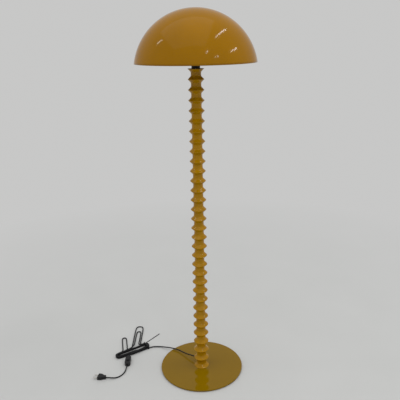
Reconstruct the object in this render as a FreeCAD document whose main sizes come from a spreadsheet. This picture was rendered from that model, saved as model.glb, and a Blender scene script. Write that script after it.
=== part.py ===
import FreeCAD, Part
import math
import os
import Sketcher

# Mushroom floor lamp: a thin round base, a stem of four turned bobbin sections drawn together by
# a threaded tube, a lampholder with a three-armed carrier, and a spun dome that rests on the arms.
# Millimetres. The origin is the centre of the underside, on the floor, and +Z is up.

DRIVING = {
    # base and its underside
    "felt_thick": 2.0, "felt_inset": 8.0,
    "base_dia": 350.0, "base_thick": 6.0, "base_edge": 1.0,
    # stem: four sections of eight bobbins, with half a ridge at each end
    "bobbin_pitch": 39.7, "ridge_dia": 62.5, "neck_dia": 39.5, "ridge_land": 2.4, "flank_height": 8.6,
    "cove_dia": 44.5, "cove_height": 4.6, "stem_bore_dia": 12.0,
    "pocket_dia": 18.0, "pocket_depth": 14.0,
    # what draws the stem together
    "tube_dia": 10.0, "tube_bore_dia": 8.0, "nut_flats": 15.0, "coupler_length": 26.0,
    "top_nut_height": 8.0, "washer_thick": 1.5, "foot_bush_length": 13.6,
    "screw_dia": 8.0, "screw_head_dia": 16.0, "screw_length": 12.0, "hex_key": 5.0,
    # lampholder
    "cap_dia": 33.0, "cap_height": 31.6, "cap_wall": 2.4, "cap_floor": 5.0,
    "skirt_dia": 39.0, "skirt_start": 23.6, "skirt_height": 40.0, "skirt_lip": 2.0, "mouth_dia": 28.9,
    "flange_dia": 45.0, "flange_thick": 3.0, "core_height": 10.0, "core_hole_dia": 7.0,
    "shell_dia": 28.6, "shell_wall": 0.5, "shell_height": 19.0, "contact_dia": 5.0, "contact_height": 3.0,
    # carrier of the dome
    "hub_dia": 54.0, "arm_thick": 3.0, "arm_width": 12.0, "arm_short_of_rim": 10.0,
    "tip_length": 14.0, "tip_thick": 3.0, "ring_dia": 50.0, "ring_height": 7.0,
    # dome
    "dome_dia": 462.0, "dome_height": 198.5, "dome_wall": 1.2, "rim_above_stem": 21.6,
    "seat_width": 25.0, "seat_thick": 1.5, "seat_leg": 11.0,
    # bulb
    "bulb_cap_dia": 26.0, "bulb_cap_height": 19.0, "bulb_neck_dia": 29.0, "bulb_body_dia": 58.0,
    "bulb_body_height": 38.0, "globe_dia": 60.0, "globe_sink": 8.0, "tip_dia": 9.0, "tip_height": 1.4,
    "insulator_height": 3.0,
    # flex and what is on it
    "cord_dia": 5.0, "grommet_dia": 8.8, "grommet_flange_dia": 11.0, "grommet_flange": 2.0,
    "grommet_inside": 11.6, "lead_bend": 9.0,
    "switch_length": 60.0, "switch_width": 24.0, "switch_height": 16.0, "switch_round": 5.0,
    "button_dia": 14.0, "button_gap": 0.1, "button_travel": 2.5, "button_proud": 3.0,
    "plug_length": 34.0, "plug_width": 13.6, "plug_face": 26.0, "plug_height": 13.6,
    "pin_dia": 4.0, "pin_length": 19.0, "pin_spacing": 18.6,
    "hank_reach": 66.0, "hank_turn": 10.0, "hank_pitch": 5.8, "hank_rise": 5.6, "hank_lift": 4.05,
    "tie_width": 4.0, "tie_thick": 1.2, "tie_tail": 108.0, "tie_head": 8.0,
    # clearances
    "thread_gap": 0.05, "seat_gap": 0.3,
}
BOBBINS_PER_SECTION = 8
SECTIONS = 4
ARM_ANGLES = (90, 210, 330)
EXIT_ANGLE = 135

doc = FreeCAD.newDocument("mushroom_floor_lamp")
sheet = doc.addObject("Spreadsheet::Sheet", "sizes")
for row, (name, number) in enumerate(DRIVING.items(), start=1):
    sheet.set("A%d" % row, name)
    sheet.set("B%d" % row, str(number))
    sheet.setAlias("B%d" % row, name)
doc.recompute()


class Size:
    """A length that keeps its number and the formula that the document binds."""

    def __init__(self, number, formula):
        self.number = number
        self.formula = formula

    def joined(self, sign, other, number):
        formula = other.formula if isinstance(other, Size) else repr(float(other))
        return Size(number, "(%s %s %s)" % (self.formula, sign, formula))

    def __add__(self, other):
        return self.joined("+", other, self.number + plain(other))

    def __sub__(self, other):
        return self.joined("-", other, self.number - plain(other))

    def __mul__(self, other):
        return self.joined("*", other, self.number * plain(other))

    def __truediv__(self, other):
        return self.joined("/", other, self.number / plain(other))


def plain(value):
    return value.number if isinstance(value, Size) else float(value)


def root(value):
    return Size(math.sqrt(value.number), "sqrt(%s)" % value.formula)


class Sizes:
    """The sheet's cells, each as a Size of the same name."""


cell = Sizes()
for name in DRIVING:
    setattr(cell, name, Size(float(getattr(sheet, name)), "sizes.%s" % name))
zero = Size(0.0, "0")


# ---- how the pieces are made --------------------------------------------------------------------

def bind(thing, prop, size):
    thing.setExpression(prop, size.formula)


def outline(body, plane, corners):
    """A closed sketch of straight edges, each corner an (across, up) pair of sizes."""
    sketch = body.newObject("Sketcher::SketchObject", body.Name + "_outline")
    role = [item for item in body.Origin.OriginFeatures if item.Role == plane]
    sketch.AttachmentSupport = [(role[0], "")]
    sketch.MapMode = "FlatFace"
    points = [FreeCAD.Vector(plain(across), plain(up), 0) for across, up in corners]
    for start, end in zip(points, points[1:] + points[:1]):
        sketch.addGeometry(Part.LineSegment(start, end), False)
    last = len(points) - 1
    for index, corner in enumerate(corners):
        before = last if index == 0 else index - 1
        sketch.addConstraint(Sketcher.Constraint("Coincident", before, 2, index, 1))
        for kind, axis, size in (("DistanceX", -2, corner[0]), ("DistanceY", -1, corner[1])):
            if plain(size) == 0:
                sketch.addConstraint(Sketcher.Constraint("PointOnObject", index, 1, axis))
                continue
            rule = Sketcher.Constraint(kind, -1, 1, index, 1, plain(size))
            number = sketch.addConstraint(rule)
            sketch.setExpression("Constraints[%d]" % number, size.formula)
    return sketch


def turned(name, corners):
    """A body turned about the lamp's axis from a half outline of (radius, height) corners."""
    body = doc.addObject("PartDesign::Body", name)
    sketch = outline(body, "XZ_Plane", corners)
    turn = body.newObject("PartDesign::Revolution", name + "_turn")
    turn.Profile = sketch
    turn.ReferenceAxis = (sketch, ["V_Axis"])
    turn.Angle = 360
    body.Tip = turn
    body.Label = name
    return body


def pipe_ring(name, outer, inner, low, high):
    return turned(name, [(inner, low), (outer, low), (outer, high), (inner, high)])


def solid_disc(name, radius, low, high):
    return turned(name, [(zero, low), (radius, low), (radius, high), (zero, high)])


def block(name, length, width, height):
    box = doc.addObject("Part::Box", name)
    bind(box, "Length", length)
    bind(box, "Width", width)
    bind(box, "Height", height)
    return box


def rod(name, radius, height):
    cylinder = doc.addObject("Part::Cylinder", name)
    bind(cylinder, "Radius", radius)
    bind(cylinder, "Height", height)
    return cylinder


def hexagon(name, flats, height):
    """A six-sided bar, whose size is given across its flats."""
    bar = doc.addObject("Part::Prism", name)
    bar.Polygon = 6
    bind(bar, "Circumradius", flats / math.sqrt(3))
    bind(bar, "Height", height)
    return bar


def place(thing, across=zero, back=zero, up=zero):
    bind(thing, ".Placement.Base.x", across)
    bind(thing, ".Placement.Base.y", back)
    bind(thing, ".Placement.Base.z", up)
    return thing


def cut(name, base, tool):
    result = doc.addObject("Part::Cut", name)
    result.Base = base
    result.Tool = tool
    return result


def joined(name, pieces):
    result = doc.addObject("Part::MultiFuse", name)
    result.Shapes = pieces
    return result


def group(name, pieces):
    """Separate solids of one kind in one node."""
    result = doc.addObject("Part::Compound", name)
    result.Links = pieces
    return result


def turn_to(thing, angle, axis=FreeCAD.Vector(0, 0, 1)):
    thing.Placement = FreeCAD.Placement(FreeCAD.Vector(), FreeCAD.Rotation(axis, angle))
    return thing


nodes = []


def node(thing, name):
    thing.Label = name
    nodes.append(thing)
    return thing


# ---- heights that the pieces share --------------------------------------------------------------

base_bottom = cell.felt_thick
base_top = base_bottom + cell.base_thick
section_length = cell.bobbin_pitch * BOBBINS_PER_SECTION
stem_top = base_top + section_length * SECTIONS
exit_height = base_top + cell.bobbin_pitch / 2
tube_radius = cell.tube_dia / 2
thread_radius = tube_radius + cell.thread_gap
screw_radius = cell.screw_dia / 2
head_radius = cell.screw_head_dia / 2
cord_radius = cell.cord_dia / 2
neck_radius = cell.neck_dia / 2

# ---- base ---------------------------------------------------------------------------------------

node(pipe_ring("base_felt", cell.base_dia / 2 - cell.felt_inset, head_radius + 6,
               zero, cell.felt_thick), "base_felt")

base_radius = cell.base_dia / 2
sink_radius = head_radius + cell.seat_gap
shank_hole = screw_radius + cell.seat_gap
node(turned("base_plate", [
    (sink_radius, base_bottom),
    (base_radius - cell.base_edge, base_bottom),
    (base_radius, base_bottom + cell.base_edge),
    (base_radius, base_top - cell.base_edge),
    (base_radius - cell.base_edge, base_top),
    (shank_hole, base_top),
    (shank_hole, base_bottom + sink_radius - shank_hole),
]), "base_plate")

screw_tip = base_bottom + cell.seat_gap + cell.screw_length
screw_blank = turned("base_screw_blank", [
    (zero, base_bottom + cell.seat_gap),
    (head_radius, base_bottom + cell.seat_gap),
    (screw_radius, base_bottom + cell.seat_gap + head_radius - screw_radius),
    (screw_radius, screw_tip),
    (zero, screw_tip),
])
key_hole = place(hexagon("base_screw_key", cell.hex_key, cell.hex_key), up=base_bottom)
node(cut("base_screw", screw_blank, key_hole), "base_screw")

# ---- stem ---------------------------------------------------------------------------------------

ridge_radius = cell.ridge_dia / 2
cove_radius = cell.cove_dia / 2
pocket_radius = cell.pocket_dia / 2
bore_radius = cell.stem_bore_dia / 2


def bobbin_section(index):
    """Eight bobbins turned from one length: ridges with a narrow land, flanks, coves and necks."""
    low = base_top + section_length * index
    high = low + section_length
    land = cell.ridge_land / 2
    flank = land + cell.flank_height
    cove = flank + cell.cove_height
    corners = [(bore_radius, low + cell.pocket_depth), (pocket_radius, low + cell.pocket_depth),
               (pocket_radius, low)]
    for bobbin in range(BOBBINS_PER_SECTION):
        ridge = low + cell.bobbin_pitch * bobbin
        after = ridge + cell.bobbin_pitch
        corners += [(ridge_radius, ridge)] if bobbin == 0 else []
        corners += [(ridge_radius, ridge + land), (cove_radius, ridge + flank),
                    (neck_radius, ridge + cove), (neck_radius, after - cove),
                    (cove_radius, after - flank), (ridge_radius, after - land)]
    corners += [(ridge_radius, high), (pocket_radius, high),
                (pocket_radius, high - cell.pocket_depth), (bore_radius, high - cell.pocket_depth)]
    return turned("bobbins_%d" % (index + 1), corners)


def towards_exit(thing, start):
    """Turns a piece made along +Z to point out of the cable hole, from a radius outwards."""
    heading = FreeCAD.Vector(math.cos(math.radians(EXIT_ANGLE)), math.sin(math.radians(EXIT_ANGLE)), 0)
    thing.Placement = FreeCAD.Placement(FreeCAD.Vector(), FreeCAD.Rotation(FreeCAD.Vector(0, 0, 1), heading))
    place(thing, start * heading.x, start * heading.y, exit_height)
    return thing


grommet_radius = cell.grommet_dia / 2
sections = [bobbin_section(index) for index in range(SECTIONS)]
cable_drill = towards_exit(rod("cable_drill", grommet_radius + cell.thread_gap, ridge_radius), zero)
lowest_section = cut("bobbins_with_cable_hole", sections[0], cable_drill)
node(group("stem_sections", [lowest_section] + sections[1:]), "stem_sections")

# ---- the tube that draws the stem together ------------------------------------------------------

bush_top = base_top + cell.foot_bush_length
bush_step = base_top + cell.screw_length - base_bottom + 1
bush_radius = pocket_radius - cell.thread_gap
node(turned("foot_bush", [
    (screw_radius + cell.thread_gap, base_top),
    (bush_radius, base_top),
    (bush_radius, bush_top),
    (thread_radius, bush_top),
    (thread_radius, bush_step),
    (screw_radius + cell.thread_gap, bush_step),
]), "foot_bush")

tube_ends = [bush_step + cell.seat_gap]
for index in range(1, SECTIONS):
    tube_ends.append(base_top + section_length * index)
tube_ends.append(stem_top + cell.cap_floor)
tubes = []
for index in range(SECTIONS):
    low = tube_ends[index] if index == 0 else tube_ends[index] + cell.seat_gap
    tubes.append(pipe_ring("tube_%d" % (index + 1), tube_radius, cell.tube_bore_dia / 2,
                           low, tube_ends[index + 1]))
slot_width = cell.cord_dia + 1.5
slot = block("tube_slot", cell.tube_dia, slot_width, cell.lead_bend * 2)
slot_centre = turn_to(place(slot, zero, slot_width / -2, exit_height - cord_radius - 1), EXIT_ANGLE)
place(slot_centre, slot_width / 2 * math.sin(math.radians(EXIT_ANGLE)),
      slot_width / -2 * math.cos(math.radians(EXIT_ANGLE)), exit_height - cord_radius - 1)
lowest_tube = cut("tube_with_slot", tubes[0], slot_centre)
node(group("tie_tubes", [lowest_tube] + tubes[1:]), "tie_tubes")

couplers = []
for index in range(1, SECTIONS):
    joint = base_top + section_length * index
    blank = hexagon("coupler_blank_%d" % index, cell.nut_flats, cell.coupler_length)
    place(blank, up=joint - cell.coupler_length / 2)
    bore = rod("coupler_bore_%d" % index, thread_radius, cell.coupler_length + 2)
    place(bore, up=joint - cell.coupler_length / 2 - 1)
    couplers.append(cut("coupler_%d" % index, blank, bore))
node(group("tube_couplers", couplers), "tube_couplers")

pocket_floor = stem_top - cell.pocket_depth
nut_bottom = pocket_floor + cell.washer_thick
node(pipe_ring("top_washer", pocket_radius - cell.seat_gap, thread_radius, pocket_floor, nut_bottom),
     "top_washer")
nut_blank = place(hexagon("top_nut_blank", cell.nut_flats, cell.top_nut_height), up=nut_bottom)
nut_bore = place(rod("top_nut_bore", thread_radius, cell.top_nut_height + 2), up=nut_bottom - 1)
node(cut("top_nut", nut_blank, nut_bore), "top_nut")

# ---- lampholder ---------------------------------------------------------------------------------

cap_radius = cell.cap_dia / 2
cap_top = stem_top + cell.cap_height
node(turned("holder_cap", [
    (thread_radius, stem_top),
    (cap_radius, stem_top),
    (cap_radius, cap_top),
    (cap_radius - cell.cap_wall, cap_top),
    (cap_radius - cell.cap_wall, stem_top + cell.cap_floor),
    (thread_radius, stem_top + cell.cap_floor),
]), "holder_cap")

core_top = cap_top + cell.core_height
node(pipe_ring("holder_core", cap_radius - cell.thread_gap, cell.core_hole_dia / 2, cap_top, core_top),
     "holder_core")

skirt_bottom = stem_top + cell.skirt_start
skirt_top = skirt_bottom + cell.skirt_height
skirt_radius = cell.skirt_dia / 2
flange_top = skirt_bottom + cell.flange_thick
node(turned("holder_skirt", [
    (cap_radius + cell.thread_gap, skirt_bottom),
    (cell.flange_dia / 2, skirt_bottom),
    (cell.flange_dia / 2, flange_top),
    (skirt_radius, flange_top),
    (skirt_radius, skirt_top),
    (cell.mouth_dia / 2, skirt_top),
    (cell.mouth_dia / 2, skirt_top - cell.skirt_lip),
    (cap_radius + cell.thread_gap, skirt_top - cell.skirt_lip),
]), "holder_skirt")

shell_radius = cell.shell_dia / 2
node(pipe_ring("holder_screw_shell", shell_radius, shell_radius - cell.shell_wall,
               core_top, core_top + cell.shell_height), "holder_screw_shell")
contact_top = core_top + cell.contact_height
node(turned("holder_contact", [
    (zero, cap_top),
    (cell.core_hole_dia / 2 - cell.thread_gap, cap_top),
    (cell.core_hole_dia / 2 - cell.thread_gap, core_top),
    (cell.contact_dia / 2, core_top),
    (cell.contact_dia / 2, contact_top),
    (zero, contact_top),
]), "holder_contact")

# ---- carrier of the dome ------------------------------------------------------------------------

arm_bottom = flange_top
arm_top = arm_bottom + cell.arm_thick
hub_bore = skirt_radius + cell.thread_gap
hub = pipe_ring("carrier_hub", cell.hub_dia / 2, hub_bore, arm_bottom, arm_top)
arm_start = hub_bore + 3
arm_reach = cell.dome_dia / 2 - cell.arm_short_of_rim
arms = []
tips = []
for angle in ARM_ANGLES:
    sine = math.sin(math.radians(angle))
    cosine = math.cos(math.radians(angle))
    arm = turn_to(block("arm_%d" % angle, arm_reach - arm_start, cell.arm_width, cell.arm_thick), angle)
    place(arm, arm_start * cosine + cell.arm_width / 2 * sine,
          arm_start * sine - cell.arm_width / 2 * cosine, arm_bottom)
    arms.append(arm)
    tip_start = arm_reach - cell.tip_length
    tip = turn_to(block("tip_%d" % angle, cell.tip_length, cell.arm_width, cell.tip_thick), angle)
    place(tip, tip_start * cosine + cell.arm_width / 2 * sine,
          tip_start * sine - cell.arm_width / 2 * cosine, arm_top)
    tips.append(tip)
node(joined("dome_carrier", [hub] + arms), "dome_carrier")
node(group("carrier_tips", tips), "carrier_tips")
node(pipe_ring("holder_ring", cell.ring_dia / 2, hub_bore, arm_top, arm_top + cell.ring_height),
     "holder_ring")

# ---- dome ---------------------------------------------------------------------------------------

rim_radius = cell.dome_dia / 2
rim_height = stem_top + cell.rim_above_stem
sphere_radius = (rim_radius * rim_radius + cell.dome_height * cell.dome_height) / (cell.dome_height * 2)
sphere_centre = rim_height + cell.dome_height - sphere_radius
inner_radius = sphere_radius - cell.dome_wall
dome_outside = place(doc.addObject("Part::Sphere", "dome_outside"), up=sphere_centre)
bind(dome_outside, "Radius", sphere_radius)
rim_sine = (sphere_radius - cell.dome_height) / sphere_radius
dome_outside.setExpression("Angle1", "asin(%s)" % rim_sine.formula)
dome_inside = place(doc.addObject("Part::Sphere", "dome_inside"), up=sphere_centre)
bind(dome_inside, "Radius", inner_radius)
node(cut("dome_shade", dome_outside, dome_inside), "dome_shade")


def wall_radius(height):
    """Radius of the dome's inner wall at a height, less a weld's clearance."""
    rise = height - sphere_centre
    return root(inner_radius * inner_radius - rise * rise) - cell.thread_gap


seat_bottom = arm_top + cell.tip_thick + cell.seat_gap
seat_top = seat_bottom + cell.seat_thick
leg_top = seat_bottom + cell.seat_leg
seat_inner_radius = rim_radius - cell.seat_width
node(turned("dome_seat_ring", [
    (seat_inner_radius, seat_bottom),
    (wall_radius(seat_bottom), seat_bottom),
    (wall_radius(leg_top), leg_top),
    (wall_radius(leg_top) - cell.seat_thick, leg_top),
    (wall_radius(seat_top) - cell.seat_thick, seat_top),
    (seat_inner_radius, seat_top),
]), "dome_seat_ring")

# ---- bulb ---------------------------------------------------------------------------------------

tip_bottom = contact_top + cell.seat_gap
insulator_bottom = tip_bottom + cell.tip_height
bulb_cap_bottom = insulator_bottom + cell.insulator_height
bulb_neck = bulb_cap_bottom + cell.bulb_cap_height
node(solid_disc("bulb_tip_contact", cell.tip_dia / 2, tip_bottom, insulator_bottom), "bulb_tip_contact")
node(turned("bulb_insulator", [
    (zero, insulator_bottom), (cell.tip_dia / 2 + 1, insulator_bottom),
    (cell.bulb_cap_dia / 2 - 2, bulb_cap_bottom), (zero, bulb_cap_bottom)]), "bulb_insulator")
node(solid_disc("bulb_screw_cap", cell.bulb_cap_dia / 2, bulb_cap_bottom, bulb_neck), "bulb_screw_cap")
body_top = bulb_neck + cell.bulb_body_height
node(turned("bulb_body", [
    (zero, bulb_neck), (cell.bulb_neck_dia / 2, bulb_neck),
    (cell.bulb_body_dia / 2, body_top), (zero, body_top)]), "bulb_body")
globe_centre = body_top + cell.globe_sink
globe_ball = place(doc.addObject("Part::Sphere", "globe_ball"), up=globe_centre)
bind(globe_ball, "Radius", cell.globe_dia / 2)
globe_ball.setExpression("Angle1", "-asin(%s)" % (cell.globe_sink / (cell.globe_dia / 2)).formula)
node(globe_ball, "bulb_globe")

# ---- flex inside the stem -----------------------------------------------------------------------

exit_x = math.cos(math.radians(EXIT_ANGLE))
exit_y = math.sin(math.radians(EXIT_ANGLE))
exit_z = plain(exit_height)
exit_radius = plain(neck_radius + cell.thread_gap * 2 + cell.grommet_flange)


def along_exit(radius, height):
    return FreeCAD.Vector(radius * exit_x, radius * exit_y, height)


def swept(name, path, shape_radius):
    """A tube of round section along a wire of tangent lines and arcs."""
    first = path.Edges[0]
    start = first.valueAt(first.FirstParameter)
    heading = first.tangentAt(first.FirstParameter)
    ring = Part.Wire(Part.Circle(start, heading, shape_radius).toShape())
    thing = doc.addObject("Part::Feature", name)
    thing.Shape = path.makePipeShell([ring], True, False)
    expected = math.pi * shape_radius ** 2 * path.Length
    print("%s: length %.1f mm, volume over section times length %.4f"
          % (name, path.Length, thing.Shape.Volume / expected))
    return thing


bend = plain(cell.lead_bend)
bend_middle = bend * (1 - math.sqrt(0.5))
lead_path = Part.Wire([
    Part.LineSegment(along_exit(0, plain(cap_top) - 1), along_exit(0, exit_z + bend)).toShape(),
    Part.Arc(along_exit(0, exit_z + bend), along_exit(bend_middle, exit_z + bend_middle),
             along_exit(bend, exit_z)).toShape(),
    Part.LineSegment(along_exit(bend, exit_z), along_exit(exit_radius, exit_z)).toShape(),
])
node(swept("inner_lead", lead_path, plain(cord_radius)), "inner_lead")

grommet_hole = cord_radius + cell.thread_gap
grommet_start = neck_radius - cell.grommet_inside
flange_start = neck_radius + cell.thread_gap * 2
barrel = rod("grommet_barrel", grommet_radius, flange_start - grommet_start)
towards_exit(barrel, grommet_start)
flange = towards_exit(rod("grommet_flange", cell.grommet_flange_dia / 2, cell.grommet_flange), flange_start)
grommet_drill = towards_exit(rod("grommet_drill", grommet_hole, cell.neck_dia), zero)
node(cut("cable_grommet", joined("grommet_blank", [barrel, flange]), grommet_drill), "cable_grommet")

# ---- free flex on the floor ---------------------------------------------------------------------

# Route of the free flex from the grommet, over the plate and down to the floor, by hand.
RUN_ROUTE = [
    (-30.5, 30.5, 27.85), (-47.0, 43.5, 25.2), (-63.5, 57.0, 21.4), (-85.0, 80.0, 17.2),
    (-108.0, 102.5, 15.2), (-131.0, 114.0, 14.8), (-156.0, 128.0, 10.6), (-183.0, 143.0, 4.6),
    (-208.0, 147.0, 3.6),
]
ARC_SHARE = 0.45


def rounded_path(points):
    """Straight runs joined by tangent arcs, each as large as its two runs allow."""
    edges = []
    start = points[0]
    radii = []
    for before, corner, after in zip(points, points[1:], points[2:]):
        arriving = (corner - before).normalize()
        leaving = (after - corner).normalize()
        turn = arriving.getAngle(leaving)
        reach = ARC_SHARE * min((corner - before).Length, (after - corner).Length)
        radius = reach / math.tan(turn / 2)
        radii.append(radius)
        entry = corner - arriving * reach
        leave = corner + leaving * reach
        inward = (leaving - arriving).normalize()
        middle = corner + inward * (radius / math.cos(turn / 2) - radius)
        edges.append(Part.LineSegment(start, entry).toShape())
        edges.append(Part.Arc(entry, middle, leave).toShape())
        start = leave
    edges.append(Part.LineSegment(start, points[-1]).toShape())
    return Part.Wire(edges), radii


def laid_cord(name, points):
    path, radii = rounded_path(points)
    print("%s: arc radii %s mm" % (name, " ".join("%.0f" % radius for radius in radii)))
    return node(swept(name, path, plain(cord_radius)), name)


# The hank's own directions: along its runs, across them to the far side, and up.
HANK_CENTRE = (-316.0, 114.0)
HANK_ANGLE = 34.0
reach = plain(cell.hank_reach)
inner_turn = plain(cell.hank_turn)
outer_turn = inner_turn + plain(cell.hank_pitch)
hank_edge = outer_turn + plain(cell.hank_pitch)
low_layer = plain(cell.hank_lift)
high_layer = low_layer + plain(cell.hank_rise)
floor_layer = plain(cord_radius) + 0.1
HANK_END = -5.0


def station(along, across, height, heading):
    """A point of the hank and the direction in which the flex passes it."""
    angle = math.radians(HANK_ANGLE)
    cosine = math.cos(angle)
    sine = math.sin(angle)
    point = FreeCAD.Vector(HANK_CENTRE[0] + along * cosine - across * sine,
                           HANK_CENTRE[1] + along * sine + across * cosine, height)
    course = math.radians(HANK_ANGLE + heading)
    return point, FreeCAD.Vector(math.cos(course), math.sin(course), 0)


hank_start = station(reach, -hank_edge, low_layer, 180)[0]
before_hank = station(reach + 20, -hank_edge, low_layer, 180)[0]
laid_cord("cord_run", [along_exit(exit_radius, exit_z)] + [FreeCAD.Vector(*p) for p in RUN_ROUTE]
          + [before_hank, hank_start])

# ---- hank: two layers of two loops, spiralling in and out again ---------------------------------


def pulled_loop(foot_end, height, foot, half_width, length, lean):
    """A loop that has slipped out of an outer run, and lies on the floor leaning from that run."""
    sine = math.sin(math.radians(lean))
    cosine = math.cos(math.radians(lean))
    foot_start = foot_end - 2 * (foot + half_width) / sine
    left_along = foot_start + foot * sine
    left_across = outer_turn + foot * (1 - cosine)
    tip_along = left_along + half_width * sine + length * cosine
    tip_across = left_across - half_width * cosine + length * sine
    return [
        station(foot_start, outer_turn, height, 0),
        station(left_along, left_across, height, lean),
        station(tip_along - half_width * sine, tip_across + half_width * cosine, floor_layer, lean),
        station(tip_along + half_width * cosine, tip_across + half_width * sine, floor_layer, lean - 90),
        station(tip_along + half_width * sine, tip_across - half_width * cosine, floor_layer, lean - 180),
        station(foot_end - foot * sine, outer_turn + foot * (1 + cosine), height, lean - 180),
        station(foot_end, outer_turn, height, 0),
    ]


def hank_loop(turn, height, pulled=()):
    """Once round the hank, from the near side's left end to its right end."""
    course = [station(-reach, -turn, height, 180), station(-reach - turn, 0, height, 90),
              station(-reach, turn, height, 0)]
    for loop in pulled:
        course += pulled_loop(*loop)
    return course + [station(reach, turn, height, 0), station(reach + turn, 0, height, -90),
                     station(reach, -turn, height, 180)]


# Foot's far end, height, foot's radius, half width, length and lean of each loop that slipped out.
SMALL_LOOP = (-5.0, low_layer, 9.0, 10.0, 104.0, 66.0)
BIG_LOOP = (65.0, low_layer, 10.0, 18.0, 170.0, 56.0)
LOOP_IN_BIG_LOOP = (54.0, high_layer, 9.0, 10.0, 128.0, 56.0)

# A strand shifts sideways or climbs only on a part of the near run where its neighbours don't.
hank_course = [station(reach, -hank_edge, low_layer, 180), station(0, -hank_edge, low_layer, 180)]
hank_course += hank_loop(outer_turn, low_layer, [SMALL_LOOP, BIG_LOOP])
hank_course += [station(0, -outer_turn, low_layer, 180)]
hank_course += hank_loop(inner_turn, low_layer)
hank_course += [station(reach / 2, -inner_turn, low_layer, 180), station(0, -inner_turn, high_layer, 180)]
hank_course += hank_loop(inner_turn, high_layer)
hank_course += [station(reach / 2, -outer_turn, high_layer, 180)]
hank_course += hank_loop(outer_turn, high_layer, [LOOP_IN_BIG_LOOP])
hank_course += [station(reach / 2, -hank_edge, high_layer, 180),
                station(HANK_END, -hank_edge, high_layer, 180)]


def arc_from(start, heading, end):
    """The arc that leaves start along heading and meets end, and its heading there."""
    chord = (end - start)
    length = chord.Length
    chord.normalize()
    lean = heading.getAngle(chord)
    if lean < 1e-5:
        return Part.LineSegment(start, end).toShape(), heading
    radius = length / (2 * math.sin(lean))
    inward = (chord - heading * math.cos(lean)).normalize()
    middle = start + heading * (radius * math.sin(lean)) + inward * (radius * (1 - math.cos(lean)))
    return Part.Arc(start, middle, end).toShape(), chord * (2 * math.cos(lean)) - heading


def biarc(start, start_heading, end, end_heading):
    """Two tangent arcs, or one straight line, from one station to the next."""
    span = end - start
    if span.cross(start_heading).Length < 1e-6 and start_heading.getAngle(end_heading) < 1e-6:
        return [Part.LineSegment(start, end).toShape()]
    both = start_heading + end_heading
    spread = 2 * (1 - start_heading.dot(end_heading))
    if spread < 1e-9:
        arm = span.dot(span) / (4 * span.dot(end_heading))
    else:
        along = span.dot(both)
        arm = (math.sqrt(along * along + spread * span.dot(span)) - along) / spread
    joint = (start + end + (start_heading - end_heading) * arm) * 0.5
    first, heading = arc_from(start, start_heading, joint)
    second, heading = arc_from(joint, heading, end)
    return [first, second]


def least_gap(path, spacing=1.0, apart=18):
    """Least space between strands of one tube, measured on points of its middle line."""
    points = path.discretize(Distance=spacing)
    least = min((points[other] - points[index]).Length
                for index in range(len(points)) for other in range(index + apart, len(points)))
    return least - plain(cell.cord_dia)


hank_edges = []
for (start, start_heading), (end, end_heading) in zip(hank_course, hank_course[1:]):
    hank_edges += biarc(start, start_heading, end, end_heading)
hank_path = Part.Wire(hank_edges)
print("cord_hank: least gap to itself %.2f mm" % least_gap(hank_path))
node(swept("cord_hank", hank_path, plain(cord_radius)), "cord_hank")

# ---- cable tie round the hank's right end -------------------------------------------------------

TIE_AT = 68.0
tie_room = cord_radius + cell.seat_gap
tie_near = tie_room + hank_edge
tie_far = tie_room + outer_turn
tie_roof = tie_room + high_layer
strap_floor = cell.thread_gap
strap_outside = block("strap_outside", cell.tie_width, tie_near + tie_far + cell.tie_thick * 2,
                      tie_roof + cell.tie_thick - strap_floor)
place(strap_outside, zero + TIE_AT, (tie_near + cell.tie_thick) * -1, strap_floor)
strap_inside = block("strap_inside", cell.tie_width + 2, tie_near + tie_far,
                     tie_roof - strap_floor - cell.tie_thick)
place(strap_inside, zero + (TIE_AT - 1), tie_near * -1, strap_floor + cell.tie_thick)
strap = cut("strap", strap_outside, strap_inside)
tie_head = block("tie_head", cell.tie_head, cell.tie_head * 0.75, cell.tie_head * 0.6)
place(tie_head, zero + TIE_AT, tie_far + cell.tie_thick * 0.5, strap_floor)
tie_tail = turn_to(block("tie_tail", cell.tie_tail, cell.tie_width, cell.tie_thick), 18)
place(tie_tail, cell.tie_head * 0.5 + TIE_AT, tie_far + cell.tie_head * 0.3, strap_floor)
tie_pieces = joined("cord_tie", [strap, tie_head, tie_tail])

# ---- foot switch in the flex, and its plug ------------------------------------------------------

SWITCH_CENTRE = (-327.0, 33.0)
SWITCH_ANGLE = -90
PLUG_FACE = (-440.0, -72.0)
PLUG_ANGLE = 170
floor_gap = cell.thread_gap


def set_down(thing, centre, angle, up=zero):
    """Puts a piece made about the origin, lying along +X, where it lies on the floor."""
    thing.Placement = FreeCAD.Placement(FreeCAD.Vector(), FreeCAD.Rotation(FreeCAD.Vector(0, 0, 1), angle))
    return place(thing, Size(centre[0], repr(centre[0])), Size(centre[1], repr(centre[1])), up)


def slab(name, corners, height):
    """A body padded up from an outline drawn on the floor."""
    body = doc.addObject("PartDesign::Body", name)
    sketch = outline(body, "XY_Plane", corners)
    pad = body.newObject("PartDesign::Pad", name + "_pad")
    pad.Profile = sketch
    bind(pad, "Length", height)
    body.Tip = pad
    return body


node(set_down(tie_pieces, HANK_CENTRE, HANK_ANGLE), "cord_tie")

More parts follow.
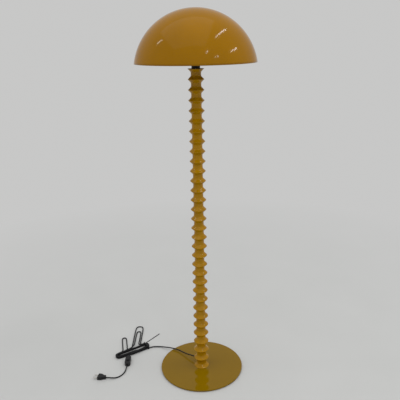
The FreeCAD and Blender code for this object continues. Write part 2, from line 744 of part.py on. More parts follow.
half_length = cell.switch_length / 2
half_width = cell.switch_width / 2
nose_width = cord_radius + 2
taper = cell.switch_round * 2
switch_plan = [
    (half_length, nose_width * -1), (half_length, nose_width), (half_length - taper, half_width),
    (half_length * -1 + taper, half_width), (half_length * -1, nose_width),
    (half_length * -1, nose_width * -1), (half_length * -1 + taper, half_width * -1),
    (half_length - taper, half_width * -1),
]
half_height = cell.switch_height / 2
node(set_down(slab("switch_base", switch_plan, half_height), SWITCH_CENTRE, SWITCH_ANGLE, floor_gap),
     "switch_base")
seam = floor_gap + half_height
button_hole = rod("button_hole", cell.button_dia / 2 + cell.button_gap, cell.switch_height)
cover_blank = slab("switch_cover_blank", switch_plan, half_height)
cover = cut("switch_cover", cover_blank, button_hole)
node(set_down(cover, SWITCH_CENTRE, SWITCH_ANGLE, seam), "switch_cover")
button_bottom = seam + cell.button_travel + cell.seat_gap
button_top = seam + half_height + cell.button_proud
button = rod("switch_button", cell.button_dia / 2, button_top - button_bottom)
node(set_down(button, SWITCH_CENTRE, SWITCH_ANGLE, button_bottom), "switch_button")

plug_nose = cell.plug_face / 2
plug_grip = cell.plug_width / 2
plug_shoulder = cell.plug_length * 0.4
plug_waist = cell.plug_length * 0.7
plug_plan = [
    (zero, plug_nose), (plug_shoulder * -1, plug_nose), (plug_waist * -1, plug_grip),
    (cell.plug_length * -1, plug_grip * 0.8), (cell.plug_length * -1, plug_grip * -0.8),
    (plug_waist * -1, plug_grip * -1), (plug_shoulder * -1, plug_nose * -1), (zero, plug_nose * -1),
]
node(set_down(slab("plug_body", plug_plan, cell.plug_height), PLUG_FACE, PLUG_ANGLE, floor_gap), "plug_body")
pins = []
for side in (-1, 1):
    pin = rod("plug_pin_%d" % (side + 2), cell.pin_dia / 2, cell.pin_length)
    pin.Placement = FreeCAD.Placement(FreeCAD.Vector(), FreeCAD.Rotation(FreeCAD.Vector(0, 1, 0), 90))
    pins.append(place(pin, zero, cell.pin_spacing / 2 * side, zero))
node(set_down(group("plug_pins", pins), PLUG_FACE, PLUG_ANGLE, floor_gap + cell.plug_height / 2), "plug_pins")

# Routes of the flex from the hank to the switch, and from the switch to the plug, by hand.
TO_SWITCH_ROUTE = [(-318.0, 86.6, 9.65), (-327.0, 75.0, 8.05)]
TO_PLUG_ROUTE = [(-327.0, -16.0, 8.05), (-331.0, -38.0, 3.2), (-342.0, -60.0, 2.6), (-360.0, -76.0, 3.0)]
cord_height = plain(floor_gap + half_height)
switch_reach = plain(half_length)
hank_end = station(HANK_END, -hank_edge, high_layer, 180)[0]
switch_entry = FreeCAD.Vector(SWITCH_CENTRE[0], SWITCH_CENTRE[1] + switch_reach, cord_height)
switch_exit = FreeCAD.Vector(SWITCH_CENTRE[0], SWITCH_CENTRE[1] - switch_reach, cord_height)
laid_cord("cord_to_switch", [hank_end] + [FreeCAD.Vector(*p) for p in TO_SWITCH_ROUTE] + [switch_entry])

plug_course = math.radians(PLUG_ANGLE)
plug_heading = FreeCAD.Vector(math.cos(plug_course), math.sin(plug_course), 0)
plug_height = plain(floor_gap + cell.plug_height / 2)
plug_entry = FreeCAD.Vector(PLUG_FACE[0], PLUG_FACE[1], plug_height) - plug_heading * plain(cell.plug_length)
before_plug = plug_entry - plug_heading * 24.0
laid_cord("cord_to_plug", [switch_exit] + [FreeCAD.Vector(*p) for p in TO_PLUG_ROUTE]
          + [before_plug, plug_entry])

# ---- checks and files ---------------------------------------------------------------------------

doc.recompute()
for thing in doc.Objects:
    faults = [state for state in thing.State if state in ("Invalid", "Error")]
    if faults:
        raise RuntimeError("%s did not recompute: %s" % (thing.Name, faults))
os.makedirs("parts", exist_ok=True)
for thing in nodes:
    shape = thing.Shape
    if shape.isNull() or not shape.isValid():
        raise RuntimeError("%s has no valid shape" % thing.Label)
    shape.exportStep("parts/%s.step" % thing.Label)
print("%d pieces written" % len(nodes))
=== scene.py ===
import math

import bmesh
import bpy
from mathutils import Matrix, Vector


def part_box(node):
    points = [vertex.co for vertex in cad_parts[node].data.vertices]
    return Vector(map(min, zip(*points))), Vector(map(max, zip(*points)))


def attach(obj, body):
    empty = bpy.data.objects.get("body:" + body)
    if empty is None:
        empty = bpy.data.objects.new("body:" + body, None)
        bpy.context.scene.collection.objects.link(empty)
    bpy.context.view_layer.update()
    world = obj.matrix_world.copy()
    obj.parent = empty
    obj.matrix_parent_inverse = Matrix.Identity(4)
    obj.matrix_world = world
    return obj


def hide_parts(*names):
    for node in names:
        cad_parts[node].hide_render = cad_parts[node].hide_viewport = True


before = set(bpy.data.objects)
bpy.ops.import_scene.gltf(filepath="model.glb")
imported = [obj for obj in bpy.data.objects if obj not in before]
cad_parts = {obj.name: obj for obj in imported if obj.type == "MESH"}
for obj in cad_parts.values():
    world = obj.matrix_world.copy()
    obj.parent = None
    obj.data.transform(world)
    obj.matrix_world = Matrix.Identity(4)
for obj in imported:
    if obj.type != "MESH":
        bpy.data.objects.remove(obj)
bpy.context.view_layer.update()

# ---- felt under the base ------------------------------------------------------------------------
# A ring of black felt glued under the plate, open in the middle for a key to the base screw.
# Every finish of the lamp is one shader whose colour, polish and bump follow a fine noise.

COAT_ROUGHNESS = 0.04
POLISH_WANDER = 0.15
RELIEF_DEPTH = 0.0005


def finish(name, colour, roughness, metallic=0.0, coat=0.0, shine=0.5, grain=60.0, wander=0.06, bump=0.02):
    material = bpy.data.materials.new(name)
    material.use_nodes = True
    nodes = material.node_tree.nodes
    links = material.node_tree.links
    shader = nodes["Principled BSDF"]
    shader.inputs["Metallic"].default_value = metallic
    shader.inputs["Coat Weight"].default_value = coat
    shader.inputs["Specular IOR Level"].default_value = shine
    shader.inputs["Coat Roughness"].default_value = COAT_ROUGHNESS
    place = nodes.new("ShaderNodeTexCoord")
    noise = nodes.new("ShaderNodeTexNoise")
    noise.inputs["Scale"].default_value = grain
    noise.inputs["Detail"].default_value = 4.0
    links.new(place.outputs["Object"], noise.inputs["Vector"])
    tint = nodes.new("ShaderNodeValToRGB")
    tint.color_ramp.elements[0].position = 0.3
    tint.color_ramp.elements[1].position = 0.7
    tint.color_ramp.elements[0].color = [part * (1 - wander) for part in colour] + [1.0]
    tint.color_ramp.elements[1].color = [part * (1 + wander) for part in colour] + [1.0]
    links.new(noise.outputs["Fac"], tint.inputs["Fac"])
    links.new(tint.outputs["Color"], shader.inputs["Base Color"])
    polish = nodes.new("ShaderNodeMapRange")
    polish.inputs["To Min"].default_value = roughness * (1 - POLISH_WANDER)
    polish.inputs["To Max"].default_value = roughness * (1 + POLISH_WANDER)
    links.new(noise.outputs["Fac"], polish.inputs["Value"])
    links.new(polish.outputs["Result"], shader.inputs["Roughness"])
    relief = nodes.new("ShaderNodeBump")
    relief.inputs["Strength"].default_value = bump
    relief.inputs["Distance"].default_value = RELIEF_DEPTH
    links.new(noise.outputs["Fac"], relief.inputs["Height"])
    links.new(relief.outputs["Normal"], shader.inputs["Normal"])
    return material


def dress(name, material, soft_edge=0.0):
    """Give a piece that keeps its solid a finish and, where it is moulded, softened edges."""
    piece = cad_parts[name]
    if not piece.material_slots:
        piece.data.materials.append(material)
    for place in piece.material_slots:
        place.material = material
    if soft_edge:
        edge = piece.modifiers.new("soft_edges", "BEVEL")
        edge.width = soft_edge
        edge.segments = 3
        edge.limit_method = "ANGLE"


black_felt = finish("black_felt", (0.012, 0.012, 0.012), 0.95, grain=900, wander=0.4, bump=0.6)
dress("base_felt", black_felt)

# ---- base plate ---------------------------------------------------------------------------------
# A thin round plate of steel with rounded edges, lacquered so smoothly that the stem shows in it.
# One screw through its middle holds the stem. This mesh is left open there: the stem hides that
# from above, and from below it shows only through the felt's hole.

PLATE_EDGE = 0.0012
UNDERSIDE_STARTS = 0.02
UNDERSIDE_RING = 0.12
TOP_RING_INSIDE_EDGE = 0.004
TOP_RING = 0.08
TOP_ENDS = 0.01
PLATE_SEGMENTS = 160
EDGE_STEP_DEGREES = 18


def turned_mesh(name, outline, segments, material):
    """A smooth surface turned about the stem's axis from (radius, height) points."""
    form = bmesh.new()
    rings = []
    for radius, height in outline:
        if radius < 1e-6:
            rings.append([form.verts.new((0, 0, height))])
            continue
        turns = [math.tau * index / segments for index in range(segments)]
        rings.append([form.verts.new((radius * math.cos(turn), radius * math.sin(turn), height))
                      for turn in turns])
    for lower, upper in zip(rings, rings[1:]):
        for index in range(segments):
            after = (index + 1) % segments
            if len(lower) == 1:
                form.faces.new((lower[0], upper[after], upper[index]))
            elif len(upper) == 1:
                form.faces.new((lower[index], lower[after], upper[0]))
            else:
                form.faces.new((lower[index], lower[after], upper[after], upper[index]))
    bmesh.ops.recalc_face_normals(form, faces=form.faces)
    for face in form.faces:
        face.smooth = True
    mesh = bpy.data.meshes.new(name)
    form.to_mesh(mesh)
    form.free()
    mesh.materials.append(material)
    thing = bpy.data.objects.new(name, mesh)
    bpy.context.scene.collection.objects.link(thing)
    return thing


base_lacquer = finish("base_lacquer", (0.215, 0.120, 0.0004), 0.04, shine=0.22, grain=7, wander=0.04,
                      bump=0.0)
plate_low, plate_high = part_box("base_plate")
plate_radius = (plate_high[0] - plate_low[0]) / 2
quarter_turn = [math.radians(angle) for angle in range(0, 91, EDGE_STEP_DEGREES)]
upper_edge = [(plate_radius - PLATE_EDGE + PLATE_EDGE * math.cos(turn),
               plate_high[2] - PLATE_EDGE + PLATE_EDGE * math.sin(turn)) for turn in quarter_turn]
lower_edge = [(radius, plate_low[2] + plate_high[2] - height) for radius, height in upper_edge[::-1]]
underside = [(UNDERSIDE_STARTS, plate_low[2]), (UNDERSIDE_RING, plate_low[2])]
top_face = [(plate_radius - TOP_RING_INSIDE_EDGE, plate_high[2]), (TOP_RING, plate_high[2]),
            (TOP_ENDS, plate_high[2])]
plate = turned_mesh("plate", underside + lower_edge + upper_edge + top_face, PLATE_SEGMENTS, base_lacquer)
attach(plate, "stand")
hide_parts("base_plate")

# ---- base screw and foot bush -------------------------------------------------------------------
# A zinc-plated countersunk screw comes up through the plate into a turned brass bush, which sits
# in the lowest section's pocket and takes the foot of the threaded tube.

zinc_plate = finish("zinc_plate", (0.55, 0.56, 0.58), 0.3, metallic=1.0, grain=90, wander=0.08, bump=0.04)
turned_brass = finish("turned_brass", (0.62, 0.44, 0.17), 0.28, metallic=1.0, grain=120, wander=0.08,
                      bump=0.04)
dress("base_screw", zinc_plate)
dress("foot_bush", turned_brass)

# ---- threaded tube inside the stem --------------------------------------------------------------
# Four zinc-plated tubes, joined by three hexagonal couplers, run up through the turned sections.
# A washer and a nut in the top pocket draw the whole stem together.

for name in ("tie_tubes", "tube_couplers", "top_washer", "top_nut"):
    dress(name, zinc_plate)

# ---- bobbin stem --------------------------------------------------------------------------------
# Turned wood under lacquer. One bobbin, from ridge to ridge, is repeated 32 times up the stem by
# Geometry Nodes: rounded ridge, straight flank, cove and plain neck, then the same mirrored. This
# mesh is the outside only, without the bore, and is open at both ends.

BOBBINS = 32
BOBBIN_SEGMENTS = 72
WELD_DISTANCE = 0.00002
stem_lacquer = finish("stem_lacquer", (0.355, 0.176, 0.0006), 0.14, shine=0.20, grain=40, wander=0.10,
                      bump=0.05)
stem_low, stem_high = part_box("stem_sections")
bobbin_pitch = (stem_high[2] - stem_low[2]) / BOBBINS
rounded_ridge = [(0.03125, 0.0), (0.03115, 0.0005), (0.0308, 0.0010), (0.0301, 0.0017)]
flank_and_cove = [(0.0231, 0.0088), (0.0217, 0.0104), (0.0206, 0.0121), (0.0199, 0.0143)]
plain_neck = [(0.01975, 0.0170)]
half_bobbin = rounded_ridge + flank_and_cove + plain_neck
one_bobbin = half_bobbin + [(radius, bobbin_pitch - height) for radius, height in half_bobbin[::-1]]
bobbin = turned_mesh("bobbin", one_bobbin, BOBBIN_SEGMENTS, stem_lacquer)

repeat = bpy.data.node_groups.new("repeat_up_the_stem", "GeometryNodeTree")
repeat.interface.new_socket("Geometry", in_out="INPUT", socket_type="NodeSocketGeometry")
count_socket = repeat.interface.new_socket("Count", in_out="INPUT", socket_type="NodeSocketInt")
pitch_socket = repeat.interface.new_socket("Pitch", in_out="INPUT", socket_type="NodeSocketFloat")
start_socket = repeat.interface.new_socket("Start", in_out="INPUT", socket_type="NodeSocketFloat")
repeat.interface.new_socket("Geometry", in_out="OUTPUT", socket_type="NodeSocketGeometry")
given = repeat.nodes.new("NodeGroupInput")
result = repeat.nodes.new("NodeGroupOutput")
line = repeat.nodes.new("GeometryNodeMeshLine")
step_up = repeat.nodes.new("ShaderNodeCombineXYZ")
start_up = repeat.nodes.new("ShaderNodeCombineXYZ")
copies = repeat.nodes.new("GeometryNodeInstanceOnPoints")
made_real = repeat.nodes.new("GeometryNodeRealizeInstances")
welded = repeat.nodes.new("GeometryNodeMergeByDistance")
painted = repeat.nodes.new("GeometryNodeSetMaterial")
welded.inputs["Distance"].default_value = WELD_DISTANCE
painted.inputs["Material"].default_value = stem_lacquer
repeat.links.new(given.outputs["Pitch"], step_up.inputs["Z"])
repeat.links.new(given.outputs["Start"], start_up.inputs["Z"])
repeat.links.new(given.outputs["Count"], line.inputs["Count"])
repeat.links.new(start_up.outputs["Vector"], line.inputs["Start Location"])
repeat.links.new(step_up.outputs["Vector"], line.inputs["Offset"])
repeat.links.new(line.outputs["Mesh"], copies.inputs["Points"])
repeat.links.new(given.outputs["Geometry"], copies.inputs["Instance"])
repeat.links.new(copies.outputs["Instances"], made_real.inputs["Geometry"])
repeat.links.new(made_real.outputs["Geometry"], welded.inputs["Geometry"])
repeat.links.new(welded.outputs["Geometry"], painted.inputs["Geometry"])
repeat.links.new(painted.outputs["Geometry"], result.inputs["Geometry"])
repeater = bobbin.modifiers.new("repeat", "NODES")
repeater.node_group = repeat
repeater[count_socket.identifier] = BOBBINS
repeater[pitch_socket.identifier] = bobbin_pitch
repeater[start_socket.identifier] = stem_low[2]
bpy.context.view_layer.update()
seen = bpy.context.evaluated_depsgraph_get()
stem = bpy.data.objects.new("bobbin_stem", bpy.data.meshes.new_from_object(bobbin.evaluated_get(seen)))
bpy.context.scene.collection.objects.link(stem)
bobbin.modifiers.remove(repeater)
bpy.data.objects.remove(bobbin)
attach(stem, "stand")
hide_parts("stem_sections")

# ---- lead and grommet in the stem ---------------------------------------------------------------
# The flex rises inside the tubes to the lampholder. It comes in through a black moulded grommet in
# the lowest bobbin, which keeps the drilled edge off its sheath.

flex_sheath = finish("flex_sheath", (0.008, 0.008, 0.009), 0.42, shine=0.22, grain=300, wander=0.15,
                     bump=0.10)
black_moulding = finish("black_moulding", (0.009, 0.009, 0.010), 0.30, shine=0.25, grain=400, wander=0.12,
                        bump=0.12)
dress("inner_lead", flex_sheath)
dress("cable_grommet", black_moulding)

# ---- lampholder ---------------------------------------------------------------------------------
# A black thermoset cap and skirt round a porcelain core, with a brass screw shell and contact.
# The cap threads on to the top tube, and a ring on the skirt clamps the dome's carrier.

thermoset = finish("thermoset", (0.007, 0.007, 0.007), 0.38, shine=0.2, grain=250, wander=0.12, bump=0.08)
porcelain = finish("porcelain", (0.72, 0.70, 0.65), 0.2, coat=0.4, grain=50, wander=0.03, bump=0.03)
dress("holder_cap", thermoset, soft_edge=0.0006)
dress("holder_core", porcelain)
dress("holder_skirt", thermoset)
dress("holder_screw_shell", turned_brass)
dress("holder_contact", turned_brass)
dress("holder_ring", thermoset, soft_edge=0.0008)

# ---- carrier of the dome ------------------------------------------------------------------------
# A hub with three flat steel arms, powder coated black. Each arm ends in a soft rubber tip, on
# which the dome rests without being fixed.

powder_coat = finish("powder_coat", (0.02, 0.02, 0.02), 0.5, grain=700, wander=0.1, bump=0.25)
soft_rubber = finish("soft_rubber", (0.02, 0.02, 0.02), 0.75, grain=300, wander=0.2, bump=0.2)
dress("dome_carrier", powder_coat)
dress("carrier_tips", soft_rubber)

# ---- dome ---------------------------------------------------------------------------------------
# A spun cap of thin metal, lacquered inside as outside. The ring seated inside its rim rests on
# the carrier's tips.

DOME_WALL = 0.0012
DOME_STEPS = 40
DOME_SEGMENTS = 160
dome_lacquer = finish("dome_lacquer", (0.305, 0.137, 0.0004), 0.09, shine=0.13, grain=9, wander=0.05,
                      bump=0.01)
dome_low, dome_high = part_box("dome_shade")
rim_radius = (dome_high[0] - dome_low[0]) / 2
cap_height = dome_high[2] - dome_low[2]
ball = (rim_radius ** 2 + cap_height ** 2) / (2 * cap_height)
ball_centre = dome_high[2] - ball
rim_angle = math.asin((dome_low[2] - ball_centre) / ball)
climb = [rim_angle + (math.pi / 2 - rim_angle) * step / DOME_STEPS for step in range(DOME_STEPS + 1)]
outside = [(ball * math.cos(turn), ball_centre + ball * math.sin(turn)) for turn in climb]
inner_ball = ball - DOME_WALL
inside = [(inner_ball * math.cos(turn), ball_centre + inner_ball * math.sin(turn)) for turn in climb]
outside[-1] = (0.0, outside[-1][1])
inside[-1] = (0.0, inside[-1][1])
dome = turned_mesh("dome", inside[::-1] + outside, DOME_SEGMENTS, dome_lacquer)
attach(dome, "dome")
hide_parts("dome_shade")
dress("dome_seat_ring", powder_coat)

# ---- bulb ---------------------------------------------------------------------------------------
# An opal globe on a white moulded body with a nickel-plated screw cap. A black insulator carries
# the tip contact under the cap.

nickel_plate = finish("nickel_plate", (0.62, 0.60, 0.56), 0.22, metallic=1.0, grain=90, wander=0.06,
                      bump=0.03)
black_glass = finish("black_glass", (0.008, 0.008, 0.008), 0.1, coat=0.5, grain=60, wander=0.1, bump=0.01)
bulb_plastic = finish("bulb_plastic", (0.78, 0.78, 0.75), 0.4, grain=80, wander=0.02, bump=0.03)
opal_glass = finish("opal_glass", (0.86, 0.85, 0.81), 0.28, coat=0.3, grain=20, wander=0.02, bump=0.01)
dress("bulb_tip_contact", nickel_plate)
dress("bulb_insulator", black_glass)
dress("bulb_screw_cap", nickel_plate)
dress("bulb_body", bulb_plastic)
dress("bulb_globe", opal_glass)

# ---- flex ---------------------------------------------------------------------------------------
# Black sheathed flex in one length, from the grommet over the plate, twice round each layer of the
# hank and through the foot switch to the plug. Its route is in millimetres, and it drops inside
# the switch so that the pressed button doesn't meet it.

FLEX_WIDTH = 0.005
HANK_CENTRE = (-316.0, 114.0)
HANK_ANGLE = math.radians(34)
REACH = 66.0
INNER_TURN = 10.0
HANK_PITCH = 5.8
OUTER_TURN = INNER_TURN + HANK_PITCH
HANK_EDGE = OUTER_TURN + HANK_PITCH
LOW_LAYER = 4.05
LAYER_RISE = 5.6
HIGH_LAYER = LOW_LAYER + LAYER_RISE
ON_FLOOR = 2.6
CORNERS_PER_END = 4
ENTRY_PAST_THE_END = 20.0
LEAVES_THE_HANK = -5.0

# foot's end along the run, height, radius of the foot, half width, length, lean in degrees
SMALL_LOOP = (-5.0, LOW_LAYER, 9.0, 10.0, 104.0, 66.0)
BIG_LOOP = (65.0, LOW_LAYER, 10.0, 18.0, 170.0, 56.0)
LOOP_IN_BIG_LOOP = (54.0, HIGH_LAYER, 9.0, 10.0, 128.0, 56.0)


def hank_point(along, across, height):
    return (HANK_CENTRE[0] + along * math.cos(HANK_ANGLE) - across * math.sin(HANK_ANGLE),
            HANK_CENTRE[1] + along * math.sin(HANK_ANGLE) + across * math.cos(HANK_ANGLE), height)


def round_turn(centre, radius, first, sweep, height, corners):
    """Corners of the polygon round an arc, by the angle at which the arc starts and its sweep."""
    share = sweep / corners
    away = radius / math.cos(math.radians(share / 2))
    turns = [math.radians(first + share * (index + 0.5)) for index in range(corners)]
    return [hank_point(centre[0] + away * math.cos(turn), centre[1] + away * math.sin(turn), height)
            for turn in turns]


def pulled_loop(foot_end, height, foot, half_width, length, lean):
    """A loop that has slipped out of an outer run and lies on the floor."""
    sine = math.sin(math.radians(lean))
    cosine = math.cos(math.radians(lean))
    left_along = foot_end - 2 * (foot + half_width) / sine + foot * sine
    left_across = OUTER_TURN + foot * (1 - cosine)
    tip = (left_along + half_width * sine + length * cosine,
           left_across - half_width * cosine + length * sine)
    left_foot = (foot_end - 2 * (foot + half_width) / sine, OUTER_TURN + foot)
    right_foot = (foot_end, OUTER_TURN + foot)
    middle = (tip[0] - cosine * length / 2, tip[1] - sine * length / 2)
    points = round_turn(left_foot, foot, -90, lean, height, 1)
    points.append(hank_point(middle[0] - half_width * sine, middle[1] + half_width * cosine, ON_FLOOR))
    points += round_turn(tip, half_width, lean + 90, -180, ON_FLOOR, CORNERS_PER_END)
    points.append(hank_point(middle[0] + half_width * sine, middle[1] - half_width * cosine, ON_FLOOR))
    points += round_turn(right_foot, foot, lean + 90, 180 - lean, height, 2)
    return points


def hank_loop(turn, height, pulled=()):
    """Once round the hank: the far end, the back run with what is pulled out of it, the near end."""
    points = round_turn((-REACH, 0), turn, -90, -180, height, CORNERS_PER_END)
    for loop in pulled:
        points += pulled_loop(*loop)
    if not pulled:
        points += [hank_point(-REACH / 3, turn, height), hank_point(REACH / 3, turn, height)]
    return points + round_turn((REACH, 0), turn, 90, -180, height, CORNERS_PER_END)


def near_run(*stations):
    """The near run, where the flex climbs and shifts, by share of the reach, side and height."""
    return [hank_point(share * REACH, -across, height) for share, across, height in stations]


flex_points = [
    (-15.5, 15.5, 27.85), (-30.5, 30.5, 27.85), (-47.0, 43.5, 25.2), (-63.5, 57.0, 21.4),
    (-85.0, 80.0, 17.2), (-108.0, 102.5, 15.2), (-131.0, 114.0, 14.8), (-156.0, 128.0, 10.6),
    (-183.0, 143.0, 4.6), (-208.0, 147.0, 3.6),
]
flex_points.append(hank_point(REACH + ENTRY_PAST_THE_END, -HANK_EDGE, LOW_LAYER))
flex_points += near_run((0.5, HANK_EDGE, LOW_LAYER), (-0.25, HANK_EDGE, LOW_LAYER),
                        (-0.75, OUTER_TURN, LOW_LAYER))
flex_points += hank_loop(OUTER_TURN, LOW_LAYER, [SMALL_LOOP, BIG_LOOP])
flex_points += near_run((-0.25, OUTER_TURN, LOW_LAYER), (-0.75, INNER_TURN, LOW_LAYER))
flex_points += hank_loop(INNER_TURN, LOW_LAYER)
flex_points += near_run((0.375, INNER_TURN, LOW_LAYER), (0.125, INNER_TURN, HIGH_LAYER))
flex_points += hank_loop(INNER_TURN, HIGH_LAYER)
flex_points += near_run((0.875, INNER_TURN, HIGH_LAYER), (0.625, OUTER_TURN, HIGH_LAYER))
flex_points += hank_loop(OUTER_TURN, HIGH_LAYER, [LOOP_IN_BIG_LOOP])
flex_points += near_run((0.875, OUTER_TURN, HIGH_LAYER), (0.625, HANK_EDGE, HIGH_LAYER))
flex_points.append(hank_point(LEAVES_THE_HANK, -HANK_EDGE, HIGH_LAYER))
flex_points += [
    (-318.0, 86.6, 9.65), (-327.0, 75.0, 8.05), (-327.0, 64.0, 8.05), (-327.0, 50.0, 4.8),
    (-327.0, 33.0, 4.8), (-327.0, 16.0, 4.8), (-327.0, 2.0, 8.05), (-327.0, -16.0, 8.05),
    (-331.0, -38.0, 3.2), (-342.0, -60.0, 2.6), (-360.0, -76.0, 3.0),
    (-382.9, -82.1, 6.85), (-406.5, -77.9, 6.85),
]
flex_data = bpy.data.curves.new("flex", "CURVE")
flex_data.dimensions = "3D"
flex_data.bevel_depth = FLEX_WIDTH / 2
flex_data.bevel_resolution = 4
flex_data.use_fill_caps = True
route = flex_data.splines.new("NURBS")
route.points.add(len(flex_points) - 1)
for knot, point in zip(route.points, flex_points):
    knot.co = [value / 1000 for value in point] + [1.0]
route.order_u = 3
route.use_endpoint_u = True
route.resolution_u = 8
flex = bpy.data.objects.new("flex", flex_data)
bpy.context.scene.collection.objects.link(flex)
flex_data.materials.append(flex_sheath)
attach(flex, "stand")
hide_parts("cord_run", "cord_hank", "cord_to_switch", "cord_to_plug")

# ---- tie round the hank -------------------------------------------------------------------------
# A black nylon cable tie, drawn round the hank's right end, with its head beside the hank and its
# long tail left lying out along the floor.

nylon = finish("nylon", (0.010, 0.010, 0.010), 0.45, shine=0.25, grain=200, wander=0.15, bump=0.08)
dress("cord_tie", nylon, soft_edge=0.0002)

# ---- foot switch --------------------------------------------------------------------------------
# Two black moulded halves meet round the flex. The sprung button stands in the upper half and
# travels down when it is trodden on.

dress("switch_base", black_moulding, soft_edge=0.0015)
dress("switch_cover", black_moulding, soft_edge=0.0025)
dress("switch_button", black_moulding, soft_edge=0.0008)

# ---- plug ---------------------------------------------------------------------------------------
# A black plug moulded on to the end of the flex, with two nickel-plated round pins.

dress("plug_body", black_moulding, soft_edge=0.0025)
dress("plug_pins", nickel_plate)

# ---- floor --------------------------------------------------------------------------------------
# Pale and plain, with the lamp's shadow on it. Past the lamp it fades by distance into the
# backdrop's colour, for the camera and in reflections only, so that no horizon shows.

BACKDROP = (0.575, 0.575, 0.57, 1.0)
FLOOR_REACH = 30.0
FADE_STARTS = 0.9
FADE_ENDS = 2.4
floor_mesh = bpy.data.meshes.new("floor")
floor_mesh.from_pydata([(-FLOOR_REACH, -FLOOR_REACH, 0), (FLOOR_REACH, -FLOOR_REACH, 0),
                        (FLOOR_REACH, FLOOR_REACH, 0), (-FLOOR_REACH, FLOOR_REACH, 0)], [], [(0, 1, 2, 3)])
floor_paint = finish("floor", (0.56, 0.565, 0.55), 0.6, shine=0.2, grain=3, wander=0.015, bump=0.0)
paint_nodes = floor_paint.node_tree.nodes
paint_links = floor_paint.node_tree.links
spot = paint_nodes.new("ShaderNodeTexCoord")
distance = paint_nodes.new("ShaderNodeVectorMath")
distance.operation = "LENGTH"
fade = paint_nodes.new("ShaderNodeMapRange")
fade.inputs["From Min"].default_value = FADE_STARTS
fade.inputs["From Max"].default_value = FADE_ENDS
floor_ray = paint_nodes.new("ShaderNodeLightPath")
seen_or_mirrored = paint_nodes.new("ShaderNodeMath")
seen_or_mirrored.operation = "MAXIMUM"
faded = paint_nodes.new("ShaderNodeMath")
faded.operation = "MULTIPLY"
far_floor = paint_nodes.new("ShaderNodeEmission")
far_floor.inputs["Color"].default_value = BACKDROP
near_or_far = paint_nodes.new("ShaderNodeMixShader")
paint_links.new(spot.outputs["Object"], distance.inputs[0])
paint_links.new(distance.outputs["Value"], fade.inputs["Value"])
paint_links.new(floor_ray.outputs["Is Camera Ray"], seen_or_mirrored.inputs[0])
paint_links.new(floor_ray.outputs["Is Glossy Ray"], seen_or_mirrored.inputs[1])
paint_links.new(fade.outputs["Result"], faded.inputs[0])
paint_links.new(seen_or_mirrored.outputs["Value"], faded.inputs[1])
paint_links.new(faded.outputs["Value"], near_or_far.inputs["Fac"])
paint_links.new(paint_nodes["Principled BSDF"].outputs["BSDF"], near_or_far.inputs[1])
paint_links.new(far_floor.outputs["Emission"], near_or_far.inputs[2])
paint_links.new(near_or_far.outputs["Shader"], paint_nodes["Material Output"].inputs["Surface"])
floor_mesh.materials.append(floor_paint)
floor = bpy.data.objects.new("floor", floor_mesh)
bpy.context.scene.collection.objects.link(floor)

# ---- backdrop -----------------------------------------------------------------------------------
# The world gives a plain, nearly white light. The camera, and anything seen in gloss or through
# glass, gets the pale backdrop instead.

world = bpy.data.worlds.new("room")
world.use_nodes = True
bpy.context.scene.world = world
air = world.node_tree.nodes
join = world.node_tree.links
plain_light = air["Background"]
plain_light.inputs["Color"].default_value = (0.93, 0.93, 0.94, 1.0)
plain_light.inputs["Strength"].default_value = 0.85
pale_wall = air.new("ShaderNodeBackground")
pale_wall.inputs["Color"].default_value = BACKDROP
pale_wall.inputs["Strength"].default_value = 1.0
ray = air.new("ShaderNodeLightPath")
straight_or_mirrored = air.new("ShaderNodeMath")
straight_or_mirrored.operation = "MAXIMUM"
seen_any_way = air.new("ShaderNodeMath")
seen_any_way.operation = "MAXIMUM"
choose = air.new("ShaderNodeMixShader")
join.new(ray.outputs["Is Camera Ray"], straight_or_mirrored.inputs[0])
join.new(ray.outputs["Is Glossy Ray"], straight_or_mirrored.inputs[1])
join.new(straight_or_mirrored.outputs["Value"], seen_any_way.inputs[0])
join.new(ray.outputs["Is Transmission Ray"], seen_any_way.inputs[1])
join.new(seen_any_way.outputs["Value"], choose.inputs["Fac"])
join.new(plain_light.outputs["Background"], choose.inputs[1])
join.new(pale_wall.outputs["Background"], choose.inputs[2])
join.new(choose.outputs["Shader"], air["World Output"].inputs["Surface"])

# ---- lights -------------------------------------------------------------------------------------
# A soft ceiling light, and five short tube lights that stand where their reflections make the
# thin glints on the dome. Each tube is given by its name, its two ends and its power.

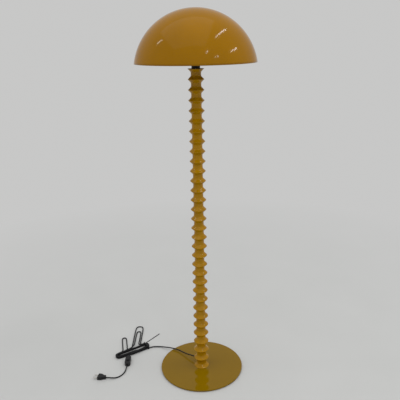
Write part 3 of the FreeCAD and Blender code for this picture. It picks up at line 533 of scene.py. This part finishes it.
TUBE_WIDTH = 0.05
CEILING_SIZE = 3.0
CEILING_POWER = 16.0
DOME_MIDDLE = Vector((0.0, 0.0, 1.4))
for name, start, end, power in (("tube_left", (-2.54, 0.11, 3.14), (-2.26, -0.07, 3.47), 3.4),
                                ("tube_right_high", (1.53, -0.97, 3.89), (1.83, 0.79, 3.69), 12.0),
                                ("tube_right_low", (2.64, -0.92, 2.79), (2.76, 0.10, 2.79), 7.0),
                                ("tube_near_high", (0.95, -2.48, 3.09), (1.11, -2.24, 3.29), 2.6),
                                ("tube_near_low", (1.71, -2.32, 2.69), (2.01, -2.03, 2.72), 2.6)):
    middle = (Vector(start) + Vector(end)) / 2
    back = (middle - DOME_MIDDLE).normalized()
    along = Vector(end) - Vector(start)
    level = (along - back * along.dot(back)).normalized()
    turn = Matrix((level, back.cross(level), back)).transposed().to_4x4()
    tube_data = bpy.data.lights.new(name, "AREA")
    tube_data.shape = "RECTANGLE"
    tube_data.size = along.length
    tube_data.size_y = TUBE_WIDTH
    tube_data.energy = power
    tube = bpy.data.objects.new(name, tube_data)
    tube.matrix_world = Matrix.Translation(middle) @ turn
    bpy.context.scene.collection.objects.link(tube)

ceiling_data = bpy.data.lights.new("ceiling", "AREA")
ceiling_data.size = CEILING_SIZE
ceiling_data.energy = CEILING_POWER
ceiling = bpy.data.objects.new("ceiling", ceiling_data)
ceiling.location = (-0.6, -0.6, 3.6)
bpy.context.scene.collection.objects.link(ceiling)

bpy.context.scene.view_settings.view_transform = "Standard"

# ---- camera -------------------------------------------------------------------------------------
# It stands 1.98 m in front of the stem at the height of the dome, looks down by 14.7 degrees and is
# turned by about a degree. The shift frames the lamp from just above the dome to below the base.

IMAGE_WIDTH = 400
FOCAL_PIXELS = 516.6
AXIS_ROW = 173.0
CAMERA_PLACE = (0.0084, -1.976, 1.3898)
LOOKS_DOWN_DEGREES = 14.664
ROLL_DEGREES = -1.081
camera_data = bpy.data.cameras.new("camera")
camera_data.sensor_width = 36.0
camera_data.lens = FOCAL_PIXELS / IMAGE_WIDTH * camera_data.sensor_width
camera_data.shift_y = (AXIS_ROW - IMAGE_WIDTH / 2) / IMAGE_WIDTH
camera_data.clip_start = 0.05
camera = bpy.data.objects.new("camera", camera_data)
tilt = Matrix.Rotation(math.radians(90 - LOOKS_DOWN_DEGREES), 4, "X")
roll = Matrix.Rotation(math.radians(ROLL_DEGREES), 4, "Z")
camera.matrix_world = Matrix.Translation(CAMERA_PLACE) @ tilt @ roll
bpy.context.scene.collection.objects.link(camera)
bpy.context.scene.camera = camera
